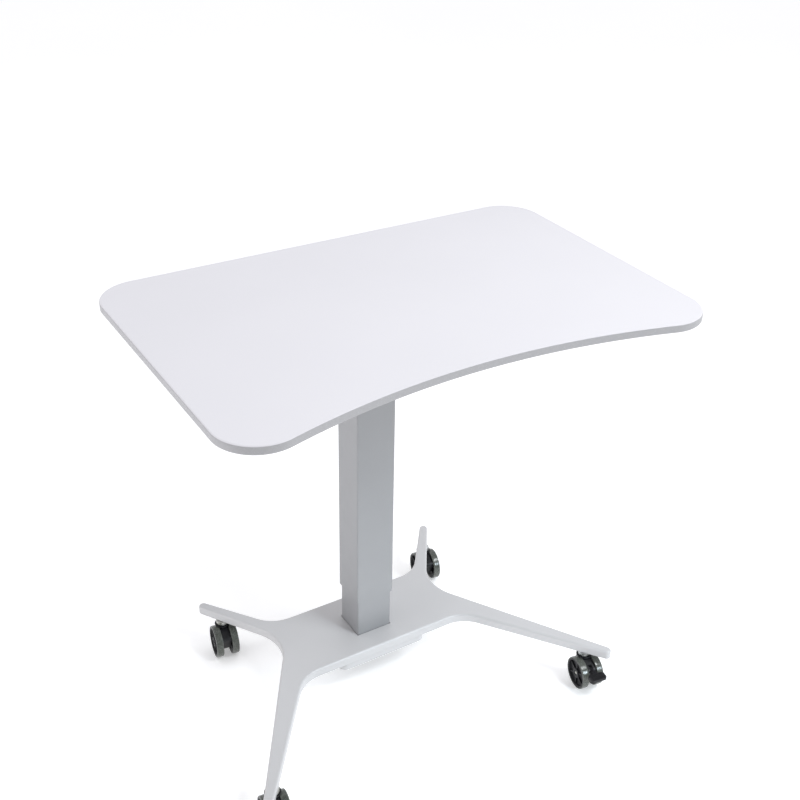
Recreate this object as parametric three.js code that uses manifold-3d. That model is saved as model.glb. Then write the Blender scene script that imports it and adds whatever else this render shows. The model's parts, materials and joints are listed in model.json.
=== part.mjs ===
// Mobile height-adjustable table: a laminated top with a concave front edge on a two-stage
// square column, lifted by a lockable gas spring, on a cast four-leg base with twin-wheel casters.
// Millimetres, +Z up, +X to the user's right, +Y away from the user. The floor is z = 0 and the
// origin is the middle of the footprint box.

import * as THREE from "three";
import { mergeVertices } from "three/addons/utils/BufferGeometryUtils.js";
import Module from "manifold-3d";

const wasm = await Module();
wasm.setup();

// ---------- driving dimensions ----------

const GAP = 0.3; // between pieces that rest on or slide past each other
const PLAY = 0.4; // between a hole's wall and what passes through it
const OVERRUN = 1; // how far a cutting tool runs past a face, or a joined solid into its neighbour

// Positions in plan are measured from the middle of TOP's width and depth until the last line
// shifts the whole table.
const TOP = {
  width: 800,
  depth: 561, // rear edge to the line through the front corners before they are rounded
  thickness: 13,
  height: 790, // working surface above the floor at rest
  rearCorner: 68,
  frontCorner: 65,
  frontSag: 74, // depth of the single arc that makes the front edge
  edge: 3,
};

const COLUMN_Y = 124;
const WALL = 1.5;
const OUTER = { x: 73.5, y: 68.6, corner: 3, bottom: 164 };
const INNER = { x: 68.1, y: 63.2, corner: 3, top: 664 };
const LOWER_GLIDE = { height: 50, recess: 1 };
const UPPER_GLIDE = { height: 52, lip: 2.7, opening: 44 };

const RAIL = { length: 560, depth: 25, web: 30, brim: 14, sheet: 1.5, offset: 80, screwX: 220 };
const PLATE = { x: 220, y: 200, thickness: 5, corner: 12, rodHole: 9 };
// A wood screw through a rail's brim into the top, and a machine screw through plate and rail.
const WOOD_SCREW = { shank: 2, length: 12, tip: 2, head: 4.4, crown: 2.6, headHeight: 2.4, edge: 0.9 };
const PLATE_SCREW = { shank: 3, flats: 10, headHeight: 4, x: 90, past: 6 };

const SPRING = {
  radius: 14,
  wall: 1.5,
  top: 650,
  topWall: 10,
  bottomWall: 8,
  rod: 5,
  piston: 11.9,
  pistonHeight: 14,
};
const PISTON_TOP = 308;
const PIN = { radius: 2, bottom: 747, top: 763, bore: 2.4, boreDepth: 15 };
const ROD_TOP = 757;
const STUD = { radius: 5, bottom: 51, nutFlats: 17, nutHeight: 8 };

// The lever's line runs level from start over the pin, down between bend and drop, then level.
const LEVER = {
  pivotX: 40,
  pivotZ: 762,
  pinRadius: 2.4,
  boss: 6,
  width: 14,
  thickness: 4,
  start: -8,
  bend: 60,
  drop: 190,
  end: 350,
  headZ: 765.3,
  gripZ: 741,
};
const GRIP = { start: 268, end: 352, width: 30, height: 16, corner: 7, edge: 3 };
// The release head's foot runs along X from start to end, with the block round the rod's end.
const HEAD = { sheet: 3.2, start: -20, end: 52, margin: 3, block: 30, blockHeight: 2, ear: 3, earLength: 22 };

const BASE = { top: 87, thickness: 17, edge: 3, frontY: 50, rearY: 201.3 };
// Each leg tip is a round end, and heading is its leg's direction in degrees from +X. A valley is
// the concave curve between a leg and the body's front or rear edge; the waist joins two legs.
const REAR_TIP = { x: 243.7, y: 312.8, r: 8, heading: 58.5 };
const FRONT_TIP = { x: 338, y: -168, r: 8, heading: -56 };
const WAIST = { x: 251.3, y: 152.3, r: 85 };
const VALLEY_RADIUS = 63;
const REAR_VALLEY_X = 119.7;
const FRONT_VALLEY_X = 135;
const SKIRT = { x: 176, y: 140, corner: 14, bottom: 54 };
const POCKET = { x: 150, y: 118, corner: 8 };
const FOOT_PLATE = { x: 146, y: 112, corner: 6, thickness: 6 };
const FOOT_BOLT = { radius: 4, flats: 13, head: 5.3, x: 58, y: 42, top: 81 };
const BOLT_SIDES = 12;

const CASTER = {
  wheelRadius: 30,
  twinWidth: 42.5,
  treadWidth: 13,
  treadInner: 28,
  treadEdge: 1.5,
  facets: 20,
  trail: 11.2,
  turn: -8.5, // degrees that all four casters stand turned about their stems
  setback: 41.4, // from the leg tip's centre back to the stem
  axle: 3,
  stem: 5,
  stemBottom: 42,
  stemTop: 82,
  collar: 11,
  collarBottom: 62.4,
};
const CORE = { fit: 0.6, inset: 0.2, bore: 0.2, rim: 2.2, slope: 1.2, dish: 4, hub: 8, hubSlope: 2 };
const HOUSING = { axleRadius: 17, stemRadius: 12.5, stemZ: 48, flange: 14, slabLow: 46, boreTop: 70, top: 61.8 };
// The pedal's hinge is at (y, z) in the caster's side view; its plate reaches out to -reach.
const PEDAL = {
  y: -28,
  z: 44,
  lug: 5.5,
  trunnion: 2,
  tongue: 6,
  arm: 12,
  rise: 2,
  below: 2,
  above: 3,
  plate: { x: 32, y: 17, corner: 5 },
  reach: 60,
};

// ---------- derived levels ----------

const UNDERSIDE = TOP.height - TOP.thickness;
const RAIL_BOTTOM = UNDERSIDE - GAP - RAIL.depth;
const PLATE_TOP = RAIL_BOTTOM - GAP;
const PLATE_BOTTOM = PLATE_TOP - PLATE.thickness;
const BASE_BOTTOM = BASE.top - BASE.thickness;
const FOOT_PLATE_TOP = BASE_BOTTOM - GAP;
const FOOT_PLATE_BOTTOM = FOOT_PLATE_TOP - FOOT_PLATE.thickness;
const WHEEL_X = (CASTER.twinWidth - CASTER.treadWidth) / 2;
const HOUSING_WIDTH = CASTER.twinWidth - 2 * CASTER.treadWidth - 2 * GAP;
const BRIM_MIDDLE = (RAIL.web + RAIL.brim) / 2;

// ---------- materials ----------

const finish = (color, roughness, metalness = 0) => () =>
  new THREE.MeshStandardMaterial({ color, roughness, metalness });
const laminate = finish(0xf0eff4, 0.55);
const silverPaint = finish(0xa9adb2, 0.45, 0.35);
const castPaint = finish(0xc4c5c9, 0.5, 0.2);
const zinc = finish(0xb9bcc0, 0.35, 0.9);
const blackNylon = finish(0x1b1c1e, 0.5);
const polyurethane = finish(0x5d615a, 0.45);
const acetal = finish(0xe8e6df, 0.4);
const blackSteel = finish(0x202226, 0.4, 0.6);
const chrome = finish(0xd6d8da, 0.12, 1);

// ---------- geometry helpers ----------

// Closed outline that wraps a ring of circles, counter-clockwise. A circle with hollow set is
// passed on its inner side, which makes a concave curve there.
function beltShape(circles) {
  const sign = (c) => (c.hollow ? -1 : 1);
  const normals = circles.map((c, i) => {
    const next = circles[(i + 1) % circles.length];
    const along = Math.atan2(next.y - c.y, next.x - c.x);
    const span = Math.hypot(next.x - c.x, next.y - c.y);
    return along + Math.acos((sign(next) * next.r - sign(c) * c.r) / span);
  });
  const shape = new THREE.Shape();
  circles.forEach((c, i) => {
    const arriving = normals[(i + circles.length - 1) % circles.length];
    const inward = c.hollow ? 0 : Math.PI;
    shape.absarc(c.x, c.y, c.r, arriving + inward, normals[i] + inward, Boolean(c.hollow));
  });
  return shape;
}

function roundedRect(width, depth, radius) {
  const x = width / 2 - radius;
  const y = depth / 2 - radius;
  return beltShape([
    { x: -x, y: -y, r: radius },
    { x, y: -y, r: radius },
    { x, y, r: radius },
    { x: -x, y, r: radius },
  ]);
}

const circleShape = (radius) => new THREE.Shape().absarc(0, 0, radius, 0, 2 * Math.PI);

const mirrored = (circle) => ({ ...circle, x: -circle.x });

// Upright prism of a plan outline between two heights, with both rims bevelled when bevel is set.
function prism(shape, low, high, { bevel = 0, curveSegments = 3 } = {}) {
  const geometry = new THREE.ExtrudeGeometry(shape, {
    depth: high - low - 2 * bevel,
    curveSegments,
    bevelEnabled: bevel > 0,
    bevelThickness: bevel,
    bevelSize: bevel,
    bevelOffset: -bevel,
    bevelSegments: 2,
  });
  return geometry.translate(0, 0, low + bevel);
}

// Prism of a side-view outline drawn in (y, z), running along X about the middle plane.
const sidePrism = (shape, width, options) =>
  prism(shape, -width / 2, width / 2, options).rotateY(Math.PI / 2).rotateX(Math.PI / 2);

const rod = (radius, low, high, sides = 16) =>
  new THREE.CylinderGeometry(radius, radius, high - low, sides)
    .rotateX(Math.PI / 2)
    .translate(0, 0, (low + high) / 2);

const crossRod = (radius, length, sides = 16) => rod(radius, -length / 2, length / 2, sides).rotateY(Math.PI / 2);

const THROUGH = 60; // length of a cross hole's tool, longer than any piece that it crosses

const hexagon = (flats, low, high) => rod(flats / 2 / Math.cos(Math.PI / 6), low, high, 6);

// Solid of revolution about Z from [radius, height] pairs, going up the outside.
const turned = (profile, sides) =>
  new THREE.LatheGeometry(profile.map(([r, z]) => new THREE.Vector2(r, z)), sides).rotateX(Math.PI / 2);

const slab = (x, y, low, high) => new THREE.BoxGeometry(x, y, high - low).translate(0, 0, (low + high) / 2);

function toSolid(geometry) {
  const bare = geometry.clone();
  bare.deleteAttribute("normal");
  bare.deleteAttribute("uv");
  const welded = mergeVertices(bare, 1e-4);
  return new wasm.Manifold(
    new wasm.Mesh({
      numProp: 3,
      vertProperties: welded.attributes.position.array,
      triVerts: new Uint32Array(welded.index.array),
    }),
  );
}

function fromSolid(solid) {
  const mesh = solid.getMesh();
  const geometry = new THREE.BufferGeometry();
  geometry.setAttribute("position", new THREE.BufferAttribute(mesh.vertProperties, 3));
  geometry.setIndex(new THREE.BufferAttribute(mesh.triVerts, 1));
  geometry.computeVertexNormals();
  return geometry;
}

const join = (...parts) => fromSolid(parts.map(toSolid).reduce((whole, part) => whole.add(part)));

const cut = (body, ...tools) =>
  fromSolid(tools.map(toSolid).reduce((whole, tool) => whole.subtract(tool), toSolid(body)));

function piece(name, geometry, material) {
  const mesh = new THREE.Mesh(geometry, material());
  mesh.name = name;
  return mesh;
}

function groupOf(meshes, x = 0, y = 0) {
  const group = new THREE.Group();
  group.add(...meshes);
  group.position.set(x, y, 0);
  return group;
}

// ---------- top ----------

// The front edge is an arc through the two unrounded front corners; each corner is then rounded
// by a circle that touches the straight side and the outside of that arc.
function topCircles() {
  const half = TOP.width / 2;
  const arcRadius = (half ** 2 + TOP.frontSag ** 2) / (2 * TOP.frontSag);
  const arcY = TOP.frontSag - TOP.depth / 2 - arcRadius;
  const cornerX = half - TOP.frontCorner;
  const cornerY = arcY + Math.sqrt((arcRadius + TOP.frontCorner) ** 2 - cornerX ** 2);
  const rearX = half - TOP.rearCorner;
  const rearY = TOP.depth / 2 - TOP.rearCorner;
  return {
    arc: { x: 0, y: arcY, r: arcRadius, hollow: true },
    frontRight: { x: cornerX, y: cornerY, r: TOP.frontCorner },
    rearRight: { x: rearX, y: rearY, r: TOP.rearCorner },
  };
}

function tabletop() {
  const { arc, frontRight, rearRight } = topCircles();
  const outline = beltShape([arc, frontRight, rearRight, mirrored(rearRight), mirrored(frontRight)]);
  const panel = prism(outline, UNDERSIDE, TOP.height, { bevel: TOP.edge, curveSegments: 5 });
  const pilot = rod(WOOD_SCREW.shank + GAP, UNDERSIDE - OVERRUN, UNDERSIDE + WOOD_SCREW.length - OVERRUN);
  const holes = [-1, 1].flatMap((end) =>
    [-1, 1].map((side) =>
      pilot.clone().translate(side * RAIL.screwX, COLUMN_Y + end * (RAIL.offset + BRIM_MIDDLE), 0)));
  return cut(panel, ...holes);
}

// Pressed hat channel: brims under the top, two side walls and a web that carries the plate.
function hatRail() {
  const half = RAIL.web / 2;
  const skin = RAIL.sheet;
  const high = RAIL_BOTTOM + RAIL.depth;
  const outline = new THREE.Shape();
  outline.moveTo(-half, RAIL_BOTTOM);
  outline.lineTo(half, RAIL_BOTTOM);
  outline.lineTo(half, high - skin);
  outline.lineTo(half + RAIL.brim, high - skin);
  outline.lineTo(half + RAIL.brim, high);
  outline.lineTo(half - skin, high);
  outline.lineTo(half - skin, RAIL_BOTTOM + skin);
  outline.lineTo(skin - half, RAIL_BOTTOM + skin);
  outline.lineTo(skin - half, high);
  outline.lineTo(-half - RAIL.brim, high);
  outline.lineTo(-half - RAIL.brim, high - skin);
  outline.lineTo(-half, high - skin);
  const holes = [-1, 1].flatMap((side) => [
    rod(WOOD_SCREW.shank + PLAY, high - skin - OVERRUN, high + OVERRUN)
      .translate(side * RAIL.screwX, BRIM_MIDDLE, 0),
    rod(PLATE_SCREW.shank + PLAY, RAIL_BOTTOM - OVERRUN, RAIL_BOTTOM + skin + OVERRUN)
      .translate(side * PLATE_SCREW.x, 0, 0),
  ]);
  return cut(sidePrism(outline, RAIL.length), ...holes);
}

// Pan-head wood screw, pointing up into the top from a rail's brim.
function railScrew() {
  const { shank, length, tip, head, crown, headHeight, edge } = WOOD_SCREW;
  const seat = UNDERSIDE - GAP - RAIL.sheet - GAP;
  return turned([[0, seat - headHeight], [crown, seat - headHeight], [head, seat - edge], [head, seat],
    [shank, seat], [shank, seat + length - tip], [0, seat + length]], BOLT_SIDES);
}

const plateScrewSpots = () =>
  [-1, 1].flatMap((sy) => [-1, 1].map((sx) => [sx * PLATE_SCREW.x, sy * RAIL.offset]));

// Hex-head screw from below, through the plate into the rail's web.
function plateScrew() {
  const seat = PLATE_BOTTOM - GAP;
  return join(
    hexagon(PLATE_SCREW.flats, seat - PLATE_SCREW.headHeight, seat),
    rod(PLATE_SCREW.shank, seat - OVERRUN, RAIL_BOTTOM + PLATE_SCREW.past, BOLT_SIDES),
  );
}

function mountingPlate() {
  const screwHole = rod(PLATE_SCREW.shank + PLAY, PLATE_BOTTOM - OVERRUN, PLATE_TOP + OVERRUN);
  return cut(
    prism(roundedRect(PLATE.x, PLATE.y, PLATE.corner), PLATE_BOTTOM, PLATE_TOP),
    rod(PLATE.rodHole, PLATE_BOTTOM - OVERRUN, PLATE_TOP + OVERRUN),
    ...plateScrewSpots().map(([x, y]) => screwHole.clone().translate(x, y, 0)),
  );
}

function squareTube(section, low, high) {
  const inside = roundedRect(section.x - 2 * WALL, section.y - 2 * WALL, section.corner / 2);
  const outside = roundedRect(section.x, section.y, section.corner);
  outside.holes.push(inside);
  return prism(outside, low, high, { curveSegments: 1 });
}

// Outline of a glide, GAP clear of the outer tube's bore.
const glideOutline = () =>
  roundedRect(OUTER.x - 2 * WALL - 2 * GAP, OUTER.y - 2 * WALL - 2 * GAP, OUTER.corner / 2);

// Sleeve that fills the play between the tubes, GAP clear of both.
function glideSleeve(low, high) {
  const outside = glideOutline();
  outside.holes.push(roundedRect(INNER.x + 2 * GAP, INNER.y + 2 * GAP, INNER.corner));
  return prism(outside, low, high, { curveSegments: 1 });
}

function lowerGlide() {
  const low = OUTER.bottom + LOWER_GLIDE.recess;
  return glideSleeve(low, low + LOWER_GLIDE.height);
}

// Cap over the inner tube's top end: a sleeve with a lip that sits on the tube's wall.
function upperGlide() {
  const lipLow = INNER.top + GAP;
  const lip = glideOutline();
  lip.holes.push(circleShape(UPPER_GLIDE.opening / 2));
  return join(
    glideSleeve(INNER.top - UPPER_GLIDE.height, lipLow + OVERRUN),
    prism(lip, lipLow, lipLow + UPPER_GLIDE.lip),
  );
}

// ---------- gas spring and its release ----------

function springCylinder() {
  const bottom = FOOT_PLATE_TOP + GAP;
  const bore = SPRING.radius - SPRING.wall;
  const neck = SPRING.rod + GAP;
  const boreTop = SPRING.top - SPRING.topWall;
  const boreBottom = bottom + SPRING.bottomWall;
  return turned([[0, STUD.bottom], [STUD.radius, STUD.bottom], [STUD.radius, bottom], [SPRING.radius, bottom],
    [SPRING.radius, SPRING.top], [neck, SPRING.top], [neck, boreTop], [bore, boreTop], [bore, boreBottom],
    [0, boreBottom]], 16);
}

function springRod() {
  const low = PISTON_TOP - SPRING.pistonHeight;
  const radius = SPRING.rod - GAP;
  const boreBottom = ROD_TOP - PIN.boreDepth;
  return turned([[0, low], [SPRING.piston, low], [SPRING.piston, PISTON_TOP], [radius, PISTON_TOP],
    [radius, ROD_TOP], [PIN.bore, ROD_TOP], [PIN.bore, boreBottom], [0, boreBottom]], 16);
}

// A cylinder across the lever, on its pivot's axis.
const onPivot = (radius, length) =>
  crossRod(radius, length).rotateZ(Math.PI / 2).translate(LEVER.pivotX, 0, LEVER.pivotZ);

// Bracket on the plate: a block that grips the rod's end and two ears that carry the lever's pin.
function releaseHead() {
  const low = PLATE_TOP + GAP;
  const blockTop = low + HEAD.sheet + HEAD.blockHeight;
  const earY = (LEVER.width + HEAD.ear) / 2 + GAP;
  const footWidth = 2 * (earY + HEAD.ear / 2 + HEAD.margin);
  const foot = slab(HEAD.end - HEAD.start, footWidth, low, low + HEAD.sheet)
    .translate((HEAD.end + HEAD.start) / 2, 0, 0);
  const block = slab(HEAD.block, HEAD.block, low, blockTop);
  const ears = [-1, 1].map((side) =>
    slab(HEAD.earLength, HEAD.ear, low + OVERRUN, LEVER.pivotZ + LEVER.boss)
      .translate(LEVER.pivotX, side * earY, 0));
  const bore = rod(SPRING.rod, low - OVERRUN, blockTop + OVERRUN);
  return cut(join(foot, block, ...ears), bore, onPivot(LEVER.pinRadius + PLAY, THROUGH));
}

const pivotPin = () => onPivot(LEVER.pinRadius, LEVER.width + 2 * (HEAD.ear + 2));

// Flat bar drawn in (x, z), with a boss round the pivot.
function leverArm() {
  const half = LEVER.thickness / 2;
  const line = [[LEVER.start, LEVER.headZ], [LEVER.bend, LEVER.headZ], [LEVER.drop, LEVER.gripZ],
    [LEVER.end, LEVER.gripZ]];
  const outline = new THREE.Shape([
    ...line.map(([x, z]) => new THREE.Vector2(x, z - half)),
    ...[...line].reverse().map(([x, z]) => new THREE.Vector2(x, z + half)),
  ]);
  const bar = prism(outline, -LEVER.width / 2, LEVER.width / 2).rotateX(Math.PI / 2);
  return cut(join(bar, onPivot(LEVER.boss, LEVER.width)), onPivot(LEVER.pinRadius + PLAY, THROUGH));
}

function leverGrip() {
  const length = GRIP.end - GRIP.start;
  const half = GRIP.height / 2;
  const body = prism(roundedRect(length, GRIP.width, GRIP.corner), -half, half, { bevel: GRIP.edge });
  const slotHalf = LEVER.thickness / 2 + GAP;
  const slot = slab(length, LEVER.width + 2 * GAP, -slotHalf, slotHalf).translate(LEVER.end - GRIP.end + GAP, 0, 0);
  return cut(body, slot).translate((GRIP.start + GRIP.end) / 2, 0, LEVER.gripZ);
}

// ---------- base ----------

function baseOutline() {
  const hollow = true;
  const right = [
    { x: FRONT_VALLEY_X, y: BASE.frontY - VALLEY_RADIUS, r: VALLEY_RADIUS, hollow },
    FRONT_TIP,
    { ...WAIST, hollow },
    REAR_TIP,
    { x: REAR_VALLEY_X, y: BASE.rearY + VALLEY_RADIUS, r: VALLEY_RADIUS, hollow },
  ];
  return beltShape([...right, ...[...right].reverse().map(mirrored)]);
}

// Stem positions, on each leg's centre line and set back from its round tip.
function stemPositions() {
  const place = (tip) => {
    const heading = THREE.MathUtils.degToRad(tip.heading);
    return {
      x: tip.x - CASTER.setback * Math.cos(heading),
      y: tip.y - CASTER.setback * Math.sin(heading),
    };
  };
  const rear = place(REAR_TIP);
  const front = place(FRONT_TIP);
  return {
    front_left: mirrored(front),
    front_right: front,
    rear_left: mirrored(rear),
    rear_right: rear,
  };
}

const boltSpots = () => [-1, 1].flatMap((sy) => [-1, 1].map((sx) => [sx * FOOT_BOLT.x, sy * FOOT_BOLT.y]));

function baseCasting() {
  const plate = prism(baseOutline(), BASE_BOTTOM, BASE.top, { bevel: BASE.edge, curveSegments: 4 });
  const skirt = prism(roundedRect(SKIRT.x, SKIRT.y, SKIRT.corner), SKIRT.bottom, BASE_BOTTOM + BASE.edge + OVERRUN)
    .translate(0, COLUMN_Y, 0);
  const pocket = prism(roundedRect(POCKET.x, POCKET.y, POCKET.corner), SKIRT.bottom - OVERRUN, BASE_BOTTOM)
    .translate(0, COLUMN_Y, 0);
  const opening = slab(INNER.x + 4 * GAP, INNER.y + 4 * GAP, BASE_BOTTOM - OVERRUN, BASE.top + OVERRUN)
    .translate(0, COLUMN_Y, 0);
  const boltHole = rod(FOOT_BOLT.radius + PLAY, BASE_BOTTOM - OVERRUN, FOOT_BOLT.top + OVERRUN, BOLT_SIDES);
  const stemHole = rod(CASTER.stem + PLAY, BASE_BOTTOM - OVERRUN, CASTER.stemTop + OVERRUN);
  return cut(
    join(plate, skirt),
    pocket,
    opening,
    ...boltSpots().map(([x, y]) => boltHole.clone().translate(x, COLUMN_Y + y, 0)),
    ...Object.values(stemPositions()).map(({ x, y }) => stemHole.clone().translate(x, y, 0)),
  );
}

function footPlate() {
  const [low, high] = [FOOT_PLATE_BOTTOM - OVERRUN, FOOT_PLATE_TOP + OVERRUN];
  const boltHole = rod(FOOT_BOLT.radius + PLAY, low, high, BOLT_SIDES);
  return cut(
    prism(roundedRect(FOOT_PLATE.x, FOOT_PLATE.y, FOOT_PLATE.corner), FOOT_PLATE_BOTTOM, FOOT_PLATE_TOP),
    rod(STUD.radius + PLAY, low, high),
    ...boltSpots().map(([x, y]) => boltHole.clone().translate(x, y, 0)),
  );
}

function footBolt() {
  const seat = FOOT_PLATE_BOTTOM - GAP;
  return join(
    hexagon(FOOT_BOLT.flats, seat - FOOT_BOLT.head, seat),
    rod(FOOT_BOLT.radius, seat - OVERRUN, FOOT_BOLT.top, BOLT_SIDES),
  );
}

function springNut() {
  const high = FOOT_PLATE_BOTTOM - GAP;
  const low = high - STUD.nutHeight;
  return cut(hexagon(STUD.nutFlats, low, high), rod(STUD.radius + PLAY, low - OVERRUN, high + OVERRUN));
}

// ---------- casters ----------

// The caster's own frame: its stem axis is Z, the axle is along X and the wheels trail towards -Y.
const casterStem = () => turned([
  [0, CASTER.stemBottom], [CASTER.stem, CASTER.stemBottom], [CASTER.stem, CASTER.collarBottom],
  [CASTER.collar, CASTER.collarBottom], [CASTER.collar, BASE_BOTTOM - GAP], [CASTER.stem, BASE_BOTTOM - GAP],
  [CASTER.stem, CASTER.stemTop], [0, CASTER.stemTop]], 16);

function casterHousing(braked) {
  const outline = beltShape([
    { x: -CASTER.trail, y: CASTER.wheelRadius, r: HOUSING.axleRadius },
    { x: 0, y: HOUSING.stemZ, r: HOUSING.stemRadius },
    { x: PEDAL.y, y: PEDAL.z, r: PEDAL.lug },
  ]);
  const body = join(
    sidePrism(outline, HOUSING_WIDTH, { curveSegments: 5 }),
    slab(HOUSING_WIDTH, 2 * HOUSING.stemRadius, HOUSING.slabLow, HOUSING.top),
    rod(HOUSING.flange, 2 * CASTER.wheelRadius + GAP, HOUSING.top, 20),
  );
  const bores = [
    rod(CASTER.stem + PLAY, CASTER.stemBottom - OVERRUN, HOUSING.boreTop),
    crossRod(CASTER.axle + GAP, THROUGH).translate(0, -CASTER.trail, CASTER.wheelRadius),
  ];
  if (braked) {
    const slotLow = PEDAL.z - PEDAL.lug - OVERRUN;
    const slotLength = 4 * PEDAL.lug;
    bores.push(
      crossRod(PEDAL.trunnion + GAP, THROUGH).translate(0, PEDAL.y, PEDAL.z),
      slab(PEDAL.tongue + 2 * GAP, slotLength, slotLow, HOUSING.top).translate(0, PEDAL.y - PEDAL.lug, 0),
    );
  }
  return cut(body, ...bores);
}

const casterAxle = () =>
  crossRod(CASTER.axle, CASTER.twinWidth - 2 * CASTER.treadEdge).translate(0, -CASTER.trail, CASTER.wheelRadius);

// Turns an upright ring onto the axle, with a facet flat on the floor.
function ontoAxle(geometry, side) {
  return geometry
    .rotateZ(Math.PI / CASTER.facets)
    .rotateY(side * Math.PI / 2)
    .translate(side * WHEEL_X, -CASTER.trail, CASTER.wheelRadius);
}

function wheelTread(side) {
  const rim = CASTER.wheelRadius / Math.cos(Math.PI / CASTER.facets);
  const half = CASTER.treadWidth / 2;
  const edge = CASTER.treadEdge;
  const inner = CASTER.treadInner;
  return ontoAxle(turned([[inner, -half], [rim - edge, -half], [rim, edge - half], [rim, half - edge],
    [rim - edge, half], [inner, half], [inner, -half]], CASTER.facets), side);
}

// Wheel body: a rim, a web dished on the outer side and a hub that turns on the axle.
function wheelCore(side) {
  const half = CASTER.treadWidth / 2 - CORE.inset;
  const rim = CASTER.treadInner - CORE.fit;
  const bore = CASTER.axle + CORE.bore;
  const lip = rim - CORE.rim;
  const web = half - CORE.dish;
  return ontoAxle(turned([[bore, -half], [rim, -half], [rim, half], [lip, half], [lip - CORE.slope, web],
    [CORE.hub + CORE.hubSlope, web], [CORE.hub, half], [bore, half], [bore, -half]], CASTER.facets), side);
}

// Foot pedal: a tongue on trunnions in the housing, an arm between the wheels and a plate.
function brakePedal() {
  const low = PEDAL.z + PEDAL.rise - PEDAL.below;
  const high = PEDAL.z + PEDAL.rise + PEDAL.above;
  const plateEnd = PEDAL.plate.y - PEDAL.reach;
  const armStart = PEDAL.y - PEDAL.lug - PEDAL.rise;
  const armLength = armStart - plateEnd + OVERRUN;
  const tongueLength = 2 * PEDAL.lug + 2 * PEDAL.above;
  const tongue = slab(PEDAL.tongue, tongueLength, PEDAL.z - PEDAL.above / 2, high)
    .translate(0, PEDAL.y - PEDAL.lug, 0);
  const trunnion = crossRod(PEDAL.trunnion, HOUSING_WIDTH - 2, BOLT_SIDES).translate(0, PEDAL.y, PEDAL.z);
  const arm = slab(PEDAL.arm, armLength, low, high).translate(0, armStart - armLength / 2, 0);
  const plate = prism(roundedRect(PEDAL.plate.x, PEDAL.plate.y, PEDAL.plate.corner), low, high)
    .translate(0, PEDAL.plate.y / 2 - PEDAL.reach, 0);
  return join(tongue, trunnion, arm, plate);
}

function caster(name, stem) {
  const braked = name.startsWith("front");
  const meshes = [
    piece(`caster_${name}_stem`, casterStem(), zinc),
    piece(`caster_${name}_housing`, casterHousing(braked), blackNylon),
    piece(`caster_${name}_axle`, casterAxle(), zinc),
    ...["left", "right"].flatMap((side) => {
      const sign = side === "left" ? -1 : 1;
      return [
        piece(`caster_${name}_${side}_wheel_core`, wheelCore(sign), blackNylon),
        piece(`caster_${name}_${side}_wheel_tread`, wheelTread(sign), polyurethane),
      ];
    }),
  ];
  if (braked) meshes.push(piece(`caster_${name}_brake_pedal`, brakePedal(), blackNylon));
  const group = groupOf(meshes, stem.x, stem.y);
  group.rotation.z = THREE.MathUtils.degToRad(CASTER.turn);
  return group;
}

// ---------- assembly ----------

const table = new THREE.Group();

table.add(piece("tabletop", tabletop(), laminate));

const rearRail = groupOf([piece("rear_rail", hatRail(), blackSteel)], 0, COLUMN_Y + RAIL.offset);
const frontRail = groupOf([piece("front_rail", hatRail(), blackSteel)], 0, COLUMN_Y - RAIL.offset);
frontRail.rotation.z = Math.PI;
table.add(rearRail, frontRail);

for (const [end, endSign] of [["front", -1], ["rear", 1]]) {
  for (const [side, sideSign] of [["left", -1], ["right", 1]]) {
    const screw = piece(`${end}_${side}_rail_screw`, railScrew(), zinc);
    const y = COLUMN_Y + endSign * (RAIL.offset + BRIM_MIDDLE);
    table.add(groupOf([screw], sideSign * RAIL.screwX, y));
  }
}

table.add(groupOf([
  piece("mounting_plate", mountingPlate(), blackSteel),
  piece("outer_tube", squareTube(OUTER, OUTER.bottom, PLATE_BOTTOM - GAP), silverPaint),
  piece("lower_glide", lowerGlide(), acetal),
  piece("gas_spring_rod", springRod(), chrome),
  piece("release_head", releaseHead(), blackSteel),
  piece("release_pin", rod(PIN.radius, PIN.bottom, PIN.top), zinc),
  piece("release_lever", leverArm(), blackSteel),
  piece("lever_grip", leverGrip(), blackNylon),
  piece("lever_pivot_pin", pivotPin(), zinc),
], 0, COLUMN_Y));

table.add(piece("base_casting", baseCasting(), castPaint));
table.add(groupOf([
  piece("inner_tube", squareTube(INNER, BASE_BOTTOM, INNER.top), silverPaint),
  piece("upper_glide", upperGlide(), acetal),
  piece("gas_spring_cylinder", springCylinder(), blackSteel),
  piece("gas_spring_nut", springNut(), zinc),
  piece("foot_plate", footPlate(), blackSteel),
], 0, COLUMN_Y));
plateScrewSpots().forEach(([x, y], i) => {
  table.add(groupOf([piece(`plate_screw_${i + 1}`, plateScrew(), zinc)], x, COLUMN_Y + y));
});
boltSpots().forEach(([x, y], i) => {
  table.add(groupOf([piece(`foot_bolt_${i + 1}`, footBolt(), zinc)], x, COLUMN_Y + y));
});

for (const [name, stem] of Object.entries(stemPositions())) table.add(caster(name, stem));

// The footprint box runs from the top's rounded front corners to the rear leg tips.
const frontReach = topCircles().frontRight.y - TOP.frontCorner;
const rearReach = REAR_TIP.y + REAR_TIP.r;
table.position.y = -(frontReach + rearReach) / 2;

export default table;
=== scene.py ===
"""Looks of a mobile height-adjustable table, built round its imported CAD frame.

Metres, +Z up, +X to the user's right, +Y away from the user. Every piece is made where it
stands, takes its place from the frame and rides on the CAD body that it belongs to.
"""

import json
import math

import bmesh
import bpy
from mathutils import Matrix, Vector
from mathutils.geometry import tessellate_polygon

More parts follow.
